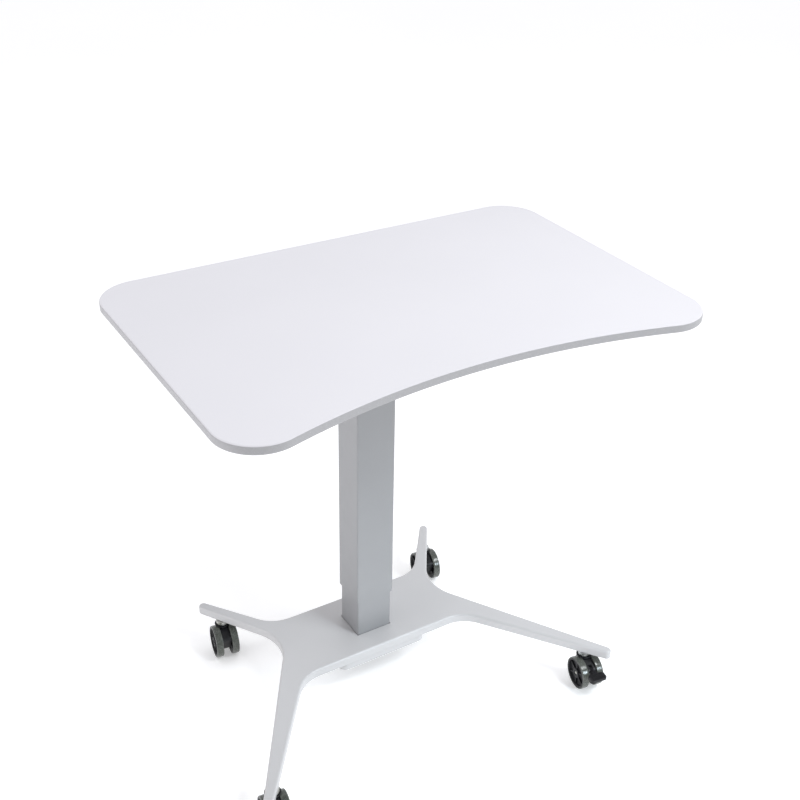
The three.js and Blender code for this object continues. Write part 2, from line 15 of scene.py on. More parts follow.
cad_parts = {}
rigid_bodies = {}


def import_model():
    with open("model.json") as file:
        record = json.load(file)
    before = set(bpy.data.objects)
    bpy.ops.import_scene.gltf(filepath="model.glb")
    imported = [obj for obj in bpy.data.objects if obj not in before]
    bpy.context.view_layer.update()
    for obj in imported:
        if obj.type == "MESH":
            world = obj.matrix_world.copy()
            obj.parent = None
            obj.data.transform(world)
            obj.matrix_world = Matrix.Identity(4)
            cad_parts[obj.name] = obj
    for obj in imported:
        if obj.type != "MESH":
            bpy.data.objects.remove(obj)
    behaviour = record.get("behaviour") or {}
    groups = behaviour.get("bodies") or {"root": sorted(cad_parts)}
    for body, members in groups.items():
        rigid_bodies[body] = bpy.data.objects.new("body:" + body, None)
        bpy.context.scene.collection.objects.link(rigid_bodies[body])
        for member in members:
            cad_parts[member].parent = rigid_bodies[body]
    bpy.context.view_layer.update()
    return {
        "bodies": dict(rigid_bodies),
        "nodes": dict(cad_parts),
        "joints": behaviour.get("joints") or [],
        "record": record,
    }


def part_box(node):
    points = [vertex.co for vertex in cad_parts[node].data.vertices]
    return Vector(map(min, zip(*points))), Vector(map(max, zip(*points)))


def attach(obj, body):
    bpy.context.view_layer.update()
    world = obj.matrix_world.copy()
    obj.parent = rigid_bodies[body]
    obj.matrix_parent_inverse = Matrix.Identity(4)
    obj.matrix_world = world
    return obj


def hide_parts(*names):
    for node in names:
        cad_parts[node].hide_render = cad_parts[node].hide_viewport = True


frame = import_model()

MM = 0.001

# ---------- places taken from the frame ----------

TOP_LOW, TOP_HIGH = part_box("tabletop")
OUTER_LOW, OUTER_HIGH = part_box("outer_tube")
INNER_LOW, INNER_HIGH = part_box("inner_tube")
PLATE_LOW, PLATE_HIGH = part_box("mounting_plate")
BASE_LOW, BASE_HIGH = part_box("base_casting")
COLUMN = (OUTER_LOW + OUTER_HIGH) / 2
PLAN_Y = COLUMN.y - 124 * MM  # the middle of the top's width and depth, before its corners are cut

JOINTS = {joint["name"]: joint for joint in frame["joints"]}
CASTERS = ("front_left", "front_right", "rear_left", "rear_right")

# ---------- driving sizes ----------

TOP_WIDTH, TOP_DEPTH = 800 * MM, 561 * MM
TOP_REAR_CORNER, TOP_FRONT_CORNER, TOP_SAG = 68 * MM, 65 * MM, 74 * MM
TOP_EDGE_ABOVE, TOP_EDGE_BELOW = 2.5 * MM, 1.5 * MM

WALL = 1.5 * MM
TUBE_CORNER = 3 * MM

# Millimetres in plan, (x, y, radius) from the middle of the top; a negative radius is a hollow.
FRONT_TIP, REAR_TIP, WAIST = (338, -168, 8), (243.7, 312.8, 8), (251.3, 152.3, -85)
VALLEY_RADIUS, FRONT_VALLEY_X, REAR_VALLEY_X = 63, 135, 119.7
BASE_FRONT_Y, BASE_REAR_Y = 50, 201.3
BASE_THICKNESS = 17 * MM
BASE_EDGE = 4 * MM
SKIRT_SIZE = (176 * MM, 140 * MM, 14 * MM)
POCKET_SIZE = (150 * MM, 118 * MM, 8 * MM)
FOOT_PLATE_CORNER, MOUNTING_PLATE_CORNER, PLATE_EDGE = 6 * MM, 12 * MM, 0.8 * MM
WELD_LEG, WELD_SPACING = 3.2 * MM, 0.7 * MM

RAIL_WEB, RAIL_BRIM, RAIL_SHEET = 30 * MM, 14 * MM, 1.5 * MM
SCREW_X, PLATE_SCREW_X, RAIL_OFFSET = 220 * MM, 90 * MM, 80 * MM

PLATE_ROD_HOLE, CLAMP_BORE = 9 * MM, 5 * MM

LEVER_WIDTH, LEVER_THICKNESS = 14 * MM, 4 * MM
LEVER_LINE = ((-8, 765.3), (60, 765.3), (190, 741), (350, 741))  # (x, z) in millimetres

WHEEL_RADIUS = 30 * MM
WHEEL_X = 14.75 * MM
TREAD_WIDTH = 13 * MM
TREAD_INNER = 28 * MM
TRAIL = 11.2 * MM
HOUSING_WIDTH = 15.9 * MM
PEDAL_Y, PEDAL_Z = -28 * MM, 44 * MM

# ---------- light and camera ----------

DIM_SIDE = (-0.52, -0.85, 0.0)  # towards the room's dim side
DIM_FROM, DIM_TO = -0.5, 0.8  # how far a direction leans that way, where dimming starts and ends
ROOM_BRIGHT, ROOM_DIM = 1.0, 0.35
FLOOR_GLOW = 0.30

CAMERA_LENS = 54.083
CAMERA_SHIFT = (-0.0406, -0.0484)
CAMERA_PLACE = Vector((-0.85810, PLAN_Y - 1.38759, TOP_HIGH.z + 0.79142))
CAMERA_YAW, CAMERA_DOWN, CAMERA_ROLL = -33.151, 28.536, 1.920  # degrees


# ---------- outlines ----------

def belt(circles, inset=0.0, spacing=4 * MM):
    """Closed outline, counter-clockwise, that wraps (x, y, radius) circles with tangent lines.

    A negative radius is passed on its inner side, which makes a concave curve there. The same
    circles give the same number of points at any inset, so insets of one outline can be lofted.
    """
    count = len(circles)
    normals = []
    for i, (x, y, r) in enumerate(circles):
        nx, ny, nr = circles[(i + 1) % count]
        span = math.hypot(nx - x, ny - y)
        normals.append(math.atan2(ny - y, nx - x) + math.acos((nr - r) / span))
    points = []
    for i, (x, y, r) in enumerate(circles):
        start, end = normals[i - 1], normals[i]
        turn = (end - start) % math.tau if r > 0 else -((start - end) % math.tau)
        steps = max(4, math.ceil(abs(turn * r) / spacing))
        signed = r - inset
        for step in range(steps + 1):
            angle = start + turn * step / steps
            points.append((x - signed * math.cos(angle), y - signed * math.sin(angle)))
    return points


def rounded_rect(size, centre=(0.0, 0.0)):
    """Circles for the corners of a (width, depth, corner radius) rectangle."""
    width, depth, radius = size
    x, y = width / 2 - radius, depth / 2 - radius
    cx, cy = centre
    return [(cx + a * x, cy + b * y, radius) for a, b in ((-1, -1), (1, -1), (1, 1), (-1, 1))]


def edge_path(low, high, above, below=None, steps=5, support=0.0):
    """(inset, height) steps up an upright side whose rims are rounded."""
    below = above if below is None else below
    path = []
    if support:
        path.append((below + support, low))
    for step in range(steps + 1):
        angle = math.pi / 2 * step / steps
        path.append((below * (1 - math.sin(angle)), low + below * (1 - math.cos(angle))))
    for step in range(steps + 1):
        angle = math.pi / 2 * step / steps
        path.append((above * (1 - math.cos(angle)), high - above * (1 - math.sin(angle))))
    if support:
        path.append((above + support, high))
    return path


def bent_strip(points, thickness, radius, steps=6):
    """Outline of a strip of even thickness along a polyline whose corners are rounded."""
    centre = [Vector(points[0])]
    for before, corner, after in zip(points, points[1:], points[2:]):
        corner = Vector(corner)
        arrive = (corner - Vector(before)).normalized()
        leave = (Vector(after) - corner).normalized()
        half = arrive.angle(leave) / 2
        bend = radius + thickness / 2
        reach = bend * math.tan(half)
        start, end = corner - arrive * reach, corner + leave * reach
        middle = corner + (leave - arrive).normalized() * bend / math.cos(half)
        first, last = start - middle, end - middle
        sweep = math.atan2(first.x * last.y - first.y * last.x, first.dot(last))
        for step in range(steps + 1):
            centre.append(middle + Matrix.Rotation(sweep * step / steps, 2) @ first)
    centre.append(Vector(points[-1]))
    left, right = [], []
    for i, point in enumerate(centre):
        ahead = centre[min(i + 1, len(centre) - 1)] - centre[max(i - 1, 0)]
        side = Vector((-ahead.y, ahead.x)).normalized() * thickness / 2
        left.append(tuple(point + side))
        right.append(tuple(point - side))
    return right + left[::-1]


# ---------- mesh builders ----------

def make_object(name, bm, smooth_angle=35):
    """Object from a bmesh: faces outwards, smooth up to an angle."""
    bmesh.ops.remove_doubles(bm, verts=bm.verts, dist=1e-6)
    bmesh.ops.dissolve_degenerate(bm, edges=bm.edges, dist=1e-7)
    bmesh.ops.recalc_face_normals(bm, faces=bm.faces)
    mesh = bpy.data.meshes.new(name)
    bm.to_mesh(mesh)
    bm.free()
    obj = bpy.data.objects.new(name, mesh)
    bpy.context.scene.collection.objects.link(obj)
    shade(obj, smooth_angle)
    return obj


def shade(obj, smooth_angle=35):
    mesh = obj.data
    mesh.polygons.foreach_set("use_smooth", [True] * len(mesh.polygons))
    mesh.set_sharp_from_angle(angle=math.radians(smooth_angle))


def add_ring(bm, ring):
    return [bm.verts.new(point) for point in ring]


def bridge(bm, lower, upper):
    count = len(lower)
    for i in range(count):
        j = (i + 1) % count
        bm.faces.new((lower[i], lower[j], upper[j], upper[i]))


def cap(bm, *loops):
    """Flat face over the first loop, with the other loops as holes in it."""
    verts = [vert for loop in loops for vert in loop]
    for a, b, c in tessellate_polygon([[vert.co for vert in loop] for loop in loops]):
        if len({a, b, c}) == 3:
            bm.faces.new((verts[a], verts[b], verts[c]))


def loft(bm, rings, caps=True, closed=False):
    """Skin over rings of equal point count; closed joins the last ring to the first."""
    made = [add_ring(bm, ring) for ring in rings]
    for lower, upper in zip(made, made[1:]):
        bridge(bm, lower, upper)
    if closed:
        bridge(bm, made[-1], made[0])
    elif caps:
        cap(bm, made[0])
        cap(bm, made[-1])
    return made


def belt_rings(circles, path, spacing=4 * MM):
    return [[(x, y, z) for x, y in belt(circles, inset, spacing)] for inset, z in path]


def plate(name, circles, low, high, edge, spacing=4 * MM, below=None, support=0.0):
    """Flat plate of a belt outline with rounded rims."""
    bm = bmesh.new()
    loft(bm, belt_rings(circles, edge_path(low, high, edge, below, support=support), spacing))
    return make_object(name, bm)


def tube(name, circles, wall, low, high, rim=0.4 * MM, spacing=0.6 * MM):
    """Open tube whose wall follows a belt outline, with slightly broken rims."""
    path = [(rim, low), (0.0, low + rim), (0.0, high - rim), (rim, high)]
    path += [(wall - rim, high), (wall, high - rim), (wall, low + rim), (wall - rim, low)]
    bm = bmesh.new()
    loft(bm, belt_rings(circles, path, spacing), closed=True)
    return make_object(name, bm, 50)


def lathe(name, profile, matrix=Matrix(), segments=64, smooth_angle=35):
    """Solid of revolution about Z from (radius, height) steps; a radius of 0 closes it."""
    bm = bmesh.new()
    rings = []
    for radius, height in profile:
        if radius < 1e-9:
            rings.append([bm.verts.new((0, 0, height))])
            continue
        angles = [math.tau * i / segments for i in range(segments)]
        rings.append([bm.verts.new((radius * math.cos(a), radius * math.sin(a), height)) for a in angles])
    for lower, upper in zip(rings, rings[1:]):
        for i in range(segments):
            j = (i + 1) % segments
            quad = [ring[k % len(ring)] for ring, k in ((lower, i), (lower, j), (upper, j), (upper, i))]
            corners = list(dict.fromkeys(quad))
            if len(corners) > 2:
                bm.faces.new(corners)
    bm.transform(matrix)
    return make_object(name, bm, smooth_angle)


def prism(name, outline, low, high, matrix=Matrix(), edge=0.0, segments=2):
    """Straight prism of a plan outline, its sharp edges rounded by edge."""
    bm = bmesh.new()
    loft(bm, [[(x, y, z) for x, y in outline] for z in (low, high)])
    bm.transform(matrix)
    obj = make_object(name, bm)
    if edge:
        round_edges(obj, edge, segments)
    return obj


def round_edges(obj, width, segments=2, angle=40):
    bevel = obj.modifiers.new("rounding", "BEVEL")
    bevel.width = width
    bevel.segments = segments
    bevel.limit_method = "ANGLE"
    bevel.angle_limit = math.radians(angle)
    return apply_modifiers(obj)


def apply_modifiers(obj):
    depsgraph = bpy.context.evaluated_depsgraph_get()
    mesh = bpy.data.meshes.new_from_object(obj.evaluated_get(depsgraph))
    obj.modifiers.clear()
    obj.data = mesh
    shade(obj)
    return obj


def combine(obj, operation, tools):
    """Boolean of obj with each tool in turn; the tools are used up."""
    for tool in tools:
        change = obj.modifiers.new("combine", "BOOLEAN")
        change.operation = operation
        change.solver = "EXACT"
        change.object = tool
        bpy.context.view_layer.update()
        apply_modifiers(obj)
        bpy.data.objects.remove(tool)
    return obj


def block(name, low, high, edge=0.0):
    """Box between two corners with rounded edges."""
    size = Vector(high) - Vector(low)
    middle = (Vector(high) + Vector(low)) / 2
    half_x, half_y = size.x / 2, size.y / 2
    outline = [(-half_x, -half_y), (half_x, -half_y), (half_x, half_y), (-half_x, half_y)]
    return prism(name, outline, -size.z / 2, size.z / 2, Matrix.Translation(middle), edge)


def copy_of(prototype, name, matrix):
    """A piece of its own from a prototype that was made in a local frame."""
    mesh = prototype.data.copy()
    mesh.transform(matrix)
    obj = bpy.data.objects.new(name, mesh)
    bpy.context.scene.collection.objects.link(obj)
    return obj


def discard(*prototypes):
    for prototype in prototypes:
        bpy.data.objects.remove(prototype)


def settle(obj, body, slot, *nodes):
    """Gives a piece the material of its slot and its body, and hides the CAD nodes that it stands for."""
    obj.data.materials.clear()
    obj.data.materials.append(FINISHES[slot])
    weighted = obj.modifiers.new("normals", "WEIGHTED_NORMAL")
    weighted.keep_sharp = True
    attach(obj, body)
    if nodes:
        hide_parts(*nodes)
    return obj


def at(x, y, z=0.0):
    return Matrix.Translation((x, y, z))


TO_X = Matrix.Rotation(math.pi / 2, 4, "Y")  # turns +Z onto +X
TO_Y = Matrix.Rotation(-math.pi / 2, 4, "X")  # turns +Z onto +Y


# ---------- materials ----------

class Surface:
    """Small helper that wires one procedural material."""

    def __init__(self, name, roughness, metallic=0.0):
        self.material = bpy.data.materials.new(name)
        self.material.use_nodes = True
        self.nodes = self.material.node_tree.nodes
        self.links = self.material.node_tree.links
        self.shader = self.nodes["Principled BSDF"]
        self.shader.inputs["Roughness"].default_value = roughness
        self.shader.inputs["Metallic"].default_value = metallic
        self.place = self.nodes.new("ShaderNodeTexCoord").outputs["Object"]

    def noise(self, scale, detail=3.0, roughness=0.55, stretch=None):
        """Noise over the object in metres; stretch squeezes it along the axes."""
        node = self.nodes.new("ShaderNodeTexNoise")
        node.inputs["Scale"].default_value = scale
        node.inputs["Detail"].default_value = detail
        node.inputs["Roughness"].default_value = roughness
        place = self.place
        if stretch:
            mapping = self.nodes.new("ShaderNodeMapping")
            mapping.inputs["Scale"].default_value = stretch
            self.links.new(place, mapping.inputs["Vector"])
            place = mapping.outputs["Vector"]
        self.links.new(place, node.inputs["Vector"])
        return node.outputs["Fac"]

    def remap(self, value, low, high, to_low=0.0, to_high=1.0):
        node = self.nodes.new("ShaderNodeMapRange")
        node.inputs["From Min"].default_value = low
        node.inputs["From Max"].default_value = high
        node.inputs["To Min"].default_value = to_low
        node.inputs["To Max"].default_value = to_high
        self.links.new(value, node.inputs["Value"])
        return node.outputs["Result"]

    def math(self, operation, a, b):
        node = self.nodes.new("ShaderNodeMath")
        node.operation = operation
        for socket, value in zip(node.inputs, (a, b)):
            if isinstance(value, (int, float)):
                socket.default_value = value
            else:
                self.links.new(value, socket)
        return node.outputs["Value"]

    def mix(self, factor, a, b):
        """Colour a where factor is 0, b where it is 1; each is a colour or an output."""
        node = self.nodes.new("ShaderNodeMix")
        node.data_type = "RGBA"
        self.links.new(factor, node.inputs["Factor"])
        sockets = [s for s in node.inputs if s.type == "RGBA"]
        for socket, value in zip(sockets, (a, b)):
            if isinstance(value, tuple):
                socket.default_value = (*value, 1.0)
            else:
                self.links.new(value, socket)
        return next(s for s in node.outputs if s.type == "RGBA")

    def bump(self, height, distance, strength=1.0, after=None):
        node = self.nodes.new("ShaderNodeBump")
        node.inputs["Distance"].default_value = distance
        node.inputs["Strength"].default_value = strength
        self.links.new(height, node.inputs["Height"])
        if after is not None:
            self.links.new(after, node.inputs["Normal"])
        return node.outputs["Normal"]

    def edges(self, radius, low=0.02, high=0.25):
        """1 on edges that are sharper than radius, 0 on flats."""
        bevel = self.nodes.new("ShaderNodeBevel")
        bevel.samples = 4
        bevel.inputs["Radius"].default_value = radius
        normal = self.nodes.new("ShaderNodeNewGeometry").outputs["Normal"]
        dot = self.nodes.new("ShaderNodeVectorMath")
        dot.operation = "DOT_PRODUCT"
        self.links.new(bevel.outputs["Normal"], dot.inputs[0])
        self.links.new(normal, dot.inputs[1])
        return self.remap(self.math("SUBTRACT", 1.0, dot.outputs["Value"]), low, high)

    def set(self, **outputs):
        for name, output in outputs.items():
            self.links.new(output, self.shader.inputs[name.replace("_", " ")])
        return self.material


def laminate():
    """White satin laminate whose upright faces are painted darker grey as painted shade, with fine speckle
    and a pebbled press texture.
    """
    s = Surface("white_laminate", 0.42)
    s.shader.inputs["Specular IOR Level"].default_value = 0.35
    cloud = s.remap(s.noise(3.0, 2.0), 0.35, 0.65)
    face = s.mix(cloud, (0.771, 0.761, 0.792), (0.787, 0.776, 0.807))
    upright = s.nodes.new("ShaderNodeSeparateXYZ")
    s.links.new(s.nodes.new("ShaderNodeNewGeometry").outputs["Normal"], upright.inputs["Vector"])
    # painted shade: faces that turn upright are mixed towards a darker grey, standing in for the shade that
    # the edges fall in
    upright_shade = s.remap(upright.outputs["Z"], 0.75, 0.45)
    base = s.mix(upright_shade, face, (0.425, 0.425, 0.437))
    speck = s.remap(s.noise(900.0, 1.0), 0.60, 0.72)
    colour = s.mix(s.math("MULTIPLY", speck, 0.35), base, (0.71, 0.70, 0.73))
    rough = s.remap(s.noise(25.0), 0.3, 0.7, 0.38, 0.47)
    normal = s.bump(s.noise(1400.0, 2.0), 0.00004, 0.5)
    return s.set(Base_Color=colour, Roughness=rough, Normal=normal)


def powder_coat(name, colour, flake, metallic, roughness, grain=750.0):
    """Satin powder coat: orange-peel skin, fine flake and slight wear on its edges."""
    s = Surface(name, roughness, metallic)
    cloud = s.remap(s.noise(6.0, 2.0), 0.3, 0.7)
    darker = tuple(0.96 * c for c in colour)
    base = s.mix(cloud, darker, colour)
    sparkle = s.remap(s.noise(2600.0, 1.0), 0.62, 0.75)
    flaked = s.mix(s.math("MULTIPLY", sparkle, 0.30), base, flake)
    worn = s.math("MULTIPLY", s.edges(0.8 * MM), s.remap(s.noise(60.0), 0.45, 0.62))
    coloured = s.mix(s.math("MULTIPLY", worn, 0.35), flaked, tuple(min(1.0, 1.15 * c) for c in colour))
    rough = s.remap(s.noise(40.0), 0.3, 0.7, roughness - 0.04, roughness + 0.05)
    peel = s.bump(s.noise(grain, 2.0), 0.00006, 0.45)
    return s.set(Base_Color=coloured, Roughness=rough, Normal=peel)


def plated(name, colour, roughness, tint):
    """Zinc or chrome plate with faint drawing lines and a slight colour cast."""
    s = Surface(name, roughness, 1.0)
    cast = s.remap(s.noise(35.0), 0.35, 0.65)
    base = s.mix(cast, colour, tint)
    rough = s.remap(s.noise(120.0, 4.0), 0.3, 0.7, roughness * 0.7, roughness * 1.4)
    lines = s.bump(s.noise(300.0, 2.0, stretch=(1.0, 1.0, 12.0)), 0.00003, 0.4)
    return s.set(Base_Color=base, Roughness=rough, Normal=lines)


def moulded(name, colour, dust, roughness, grain=1600.0):
    """Moulded plastic: spark-eroded texture, scuffed edges and a trace of dust."""
    s = Surface(name, roughness)
    s.shader.inputs["Specular IOR Level"].default_value = 0.3
    film = s.remap(s.noise(50.0, 4.0), 0.5, 0.75)
    base = s.mix(s.math("MULTIPLY", film, 0.25), colour, dust)
    scuffed = s.mix(s.math("MULTIPLY", s.edges(0.6 * MM), 0.30), base, dust)
    rough = s.remap(s.noise(80.0), 0.3, 0.7, roughness - 0.07, roughness + 0.08)
    texture = s.bump(s.noise(grain, 2.0), 0.00005, 0.6)
    return s.set(Base_Color=scuffed, Roughness=rough, Normal=texture)


def tread_rubber():
    """Grey-green polyurethane: glossy, with fine running marks and dust in them."""
    s = Surface("polyurethane", 0.22)
    s.shader.inputs["Coat Weight"].default_value = 0.3
    s.shader.inputs["Coat Roughness"].default_value = 0.1
    cloud = s.remap(s.noise(60.0, 3.0), 0.35, 0.65)
    base = s.mix(cloud, (0.070, 0.077, 0.066), (0.092, 0.099, 0.085))
    dust = s.remap(s.noise(420.0, 4.0), 0.58, 0.72)
    colour = s.mix(s.math("MULTIPLY", dust, 0.25), base, (0.23, 0.225, 0.205))
    rough = s.remap(s.noise(260.0, 3.0), 0.35, 0.7, 0.17, 0.34)
    normal = s.bump(s.noise(500.0, 3.0), 0.00005, 0.4)
    return s.set(Base_Color=colour, Roughness=rough, Normal=normal)


FINISHES = {
    "top_laminate": laminate(),
    "silver_paint": powder_coat("silver_paint", (0.340, 0.343, 0.352), (0.48, 0.49, 0.505), 0.15, 0.42),
    "cast_paint": powder_coat("cast_paint", (0.585, 0.581, 0.585), (0.70, 0.695, 0.705), 0.05, 0.38, 500.0),
    "black_steel": powder_coat("black_steel", (0.018, 0.018, 0.020), (0.06, 0.06, 0.06), 0.1, 0.5, 900.0),
    "zinc": plated("zinc", (0.60, 0.62, 0.65), 0.30, (0.66, 0.65, 0.58)),
    "chrome": plated("chrome", (0.78, 0.79, 0.81), 0.08, (0.74, 0.76, 0.79)),
    "acetal": moulded("acetal", (0.72, 0.70, 0.64), (0.60, 0.58, 0.52), 0.35),
    "black_nylon": moulded("black_nylon", (0.006, 0.006, 0.008), (0.055, 0.054, 0.052), 0.40),
    "polyurethane": tread_rubber(),
}


# ---------- the top ----------

def top_circles():
    """The front edge is one arc through the uncut front corners; each corner touches it."""
    half = TOP_WIDTH / 2
    arc = (half ** 2 + TOP_SAG ** 2) / (2 * TOP_SAG)
    arc_y = TOP_SAG - TOP_DEPTH / 2 - arc
    front_x = half - TOP_FRONT_CORNER
    front_y = arc_y + math.sqrt((arc + TOP_FRONT_CORNER) ** 2 - front_x ** 2)
    rear_x = half - TOP_REAR_CORNER
    rear_y = TOP_DEPTH / 2 - TOP_REAR_CORNER
    circles = [
        (0.0, arc_y, -arc),
        (front_x, front_y, TOP_FRONT_CORNER),
        (rear_x, rear_y, TOP_REAR_CORNER),
        (-rear_x, rear_y, TOP_REAR_CORNER),
        (-front_x, front_y, TOP_FRONT_CORNER),
    ]
    return [(x, y + PLAN_Y, r) for x, y, r in circles]


def make_top():
    panel = plate("tabletop_panel", top_circles(), TOP_LOW.z, TOP_HIGH.z, TOP_EDGE_ABOVE, 3 * MM,
                  below=TOP_EDGE_BELOW, support=1.5 * MM)
    settle(panel, "top", "top_laminate", "tabletop")


def make_rails():
    """Pressed hat channels with bent corners, and round holes along the web."""
    for end, sign in (("front", -1), ("rear", 1)):
        node = f"{end}_rail"
        low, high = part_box(node)
        wall = (RAIL_WEB - RAIL_SHEET) / 2
        bottom, brim = low.z + RAIL_SHEET / 2, high.z - RAIL_SHEET / 2
        reach = RAIL_WEB / 2 + RAIL_BRIM
        line = [(-reach, brim), (-wall, brim), (-wall, bottom), (wall, bottom), (wall, brim), (reach, brim)]
        section = bent_strip(line, RAIL_SHEET, 1.2 * MM)
        rail_y = COLUMN.y + sign * RAIL_OFFSET
        bm = bmesh.new()
        loft(bm, [[(x, rail_y + y, z) for y, z in section] for x in (low.x, high.x)])
        rail = round_edges(make_object(f"{end}_hat_rail", bm), 0.3 * MM)
        holes = []
        for side in (-1, 1):
            for i in range(3):
                spot = at(side * (PLATE_SCREW_X + (45 + 45 * i) * MM), rail_y, low.z)
                holes.append(lathe("hole", rod_profile(4 * MM, -3 * MM, 3 * MM), spot, 32))
        combine(rail, "DIFFERENCE", holes)
        settle(rail, "top", "black_steel", node)


def make_fasteners():
    pan = lathe("pan", pan_head_profile(4.4 * MM, 2.4 * MM, 0.9 * MM), segments=48)
    cross = ((2.2 * MM, 0.5 * MM), (0.5 * MM, 2.2 * MM))
    slots = [block("slot", (-a, -b, -3 * MM), (a, b, -1.0 * MM)) for a, b in cross]
    combine(pan, "DIFFERENCE", slots)
    for end, sign in (("front", -1), ("rear", 1)):
        for side, x in (("left", -SCREW_X), ("right", SCREW_X)):
            node = f"{end}_{side}_rail_screw"
            low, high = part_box(node)
            y = (low.y + high.y) / 2
            screw = copy_of(pan, f"{node}_head", at(x, y, low.z + 2.4 * MM))
            settle(screw, "top", "zinc", node)
    discard(pan)
    plate_head = hex_head(10 * MM, 4 * MM, 13 * MM)
    foot_head = hex_head(13 * MM, 5.3 * MM, 17 * MM)
    nut = hex_head(17 * MM, 8 * MM, 22 * MM)
    for i in range(1, 5):
        for kind, prototype, body in (("plate_screw", plate_head, "top"), ("foot_bolt", foot_head, "base")):
            node = f"{kind}_{i}"
            low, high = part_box(node)
            spot = at((low.x + high.x) / 2, (low.y + high.y) / 2, low.z)
            settle(copy_of(prototype, f"{node}_head", spot), body, "zinc", node)
    low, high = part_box("gas_spring_nut")
    nut_body = copy_of(nut, "gas_spring_nut_body", at(COLUMN.x, COLUMN.y, low.z))
    settle(nut_body, "base", "zinc", "gas_spring_nut")
    discard(plate_head, foot_head, nut)


def rod_profile(radius, low, high, rim=0.0):
    profile = [(0, low), (radius - rim, low)]
    if rim:
        profile += [(radius, low + rim), (radius, high - rim)]
    return profile + [(radius - rim, high), (0, high)]


def pan_head_profile(radius, height, edge):
    crown = [(radius * math.sin(a), -edge - (height - edge) * math.cos(a)) for a in
             (math.pi / 2 * i / 8 for i in range(9))]
    return crown + [(radius, 0), (2 * MM, 0), (2 * MM, 7 * MM), (0, 10 * MM)]


def hex_head(flats, height, washer):
    """Chamfered hexagon standing down from z = height, with a washer above."""
    corner = flats / 2 / math.cos(math.pi / 6)
    outline = [(corner * math.cos(math.pi * i / 3), corner * math.sin(math.pi * i / 3)) for i in range(6)]
    head = prism("hex_head", outline, 0, height, edge=0.25 * MM)
    chamfer = lathe("chamfer", [(0, 0), (flats / 2 - 0.3 * MM, 0), (corner + 0.4 * MM, 1.2 * MM),
                                (corner + 0.4 * MM, height + MM), (0, height + MM)], segments=48)
    combine(head, "INTERSECT", [chamfer])
    ring = lathe("washer", rod_profile(washer / 2, height - 1.2 * MM, height, 0.2 * MM), segments=48)
    return combine(head, "UNION", [ring])


# ---------- the column ----------

def tube_circles(low, high):
    return rounded_rect((high.x - low.x, high.y - low.y, TUBE_CORNER), (COLUMN.x, COLUMN.y))


def make_column():
    outer = tube("outer_tube_shell", tube_circles(OUTER_LOW, OUTER_HIGH), WALL, OUTER_LOW.z, OUTER_HIGH.z)
    settle(outer, "top", "silver_paint", "outer_tube")
    inner = tube("inner_tube_shell", tube_circles(INNER_LOW, INNER_HIGH), WALL, INNER_LOW.z, INNER_HIGH.z)
    settle(inner, "base", "silver_paint", "inner_tube")


def column_bore(radius, low, high):
    """Tool that cuts a round hole on the column's axis through what lies between two heights."""
    return lathe("bore", rod_profile(radius, low - 5 * MM, high + 5 * MM), at(COLUMN.x, COLUMN.y), 48)


def column_plate(name, low, high, corner):
    """Steel plate with rounded corners, centred on the column."""
    size = (high.x - low.x, high.y - low.y, corner)
    circles = rounded_rect(size, (COLUMN.x, COLUMN.y))
    return plate(name, circles, low.z, high.z, PLATE_EDGE, support=0.5 * MM)


def make_plates():
    top_plate = column_plate("mounting_plate_body", PLATE_LOW, PLATE_HIGH, MOUNTING_PLATE_CORNER)
    combine(top_plate, "DIFFERENCE", [column_bore(PLATE_ROD_HOLE, PLATE_LOW.z, PLATE_HIGH.z)])
    settle(top_plate, "top", "black_steel", "mounting_plate")
    make_weld()
    foot = column_plate("foot_plate_body", *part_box("foot_plate"), FOOT_PLATE_CORNER)
    settle(foot, "base", "black_steel", "foot_plate")


def make_weld():
    """Fillet weld round the tube's top end, with the ripples of its passes."""
    high = PLATE_LOW.z
    circles = tube_circles(OUTER_LOW, OUTER_HIGH)
    base = belt(circles, 0.0, WELD_SPACING)
    outer = belt(circles, -1.0, WELD_SPACING)
    away = [(Vector(far) - Vector(near)).normalized() for near, far in zip(base, outer)]
    steps = 8
    rings = []
    for step in range(steps + 1):
        turn = math.pi / 2 * step / steps
        ring = []
        for i, (x, y) in enumerate(base):
            leg = WELD_LEG * (1 + 0.10 * math.sin(2.4 * i))
            out = leg * (1 - math.sin(turn))
            ring.append((x + away[i].x * out, y + away[i].y * out, high - leg * (1 - math.cos(turn))))
        rings.append(ring)
    inner = belt(circles, 0.3 * MM, WELD_SPACING)
    rings += [[(x, y, z) for x, y in inner] for z in (high - 3.0 * MM, high)]
    bm = bmesh.new()
    loft(bm, rings, closed=True)
    settle(make_object("column_weld", bm, 60), "top", "black_steel")


# ---------- release lever ----------

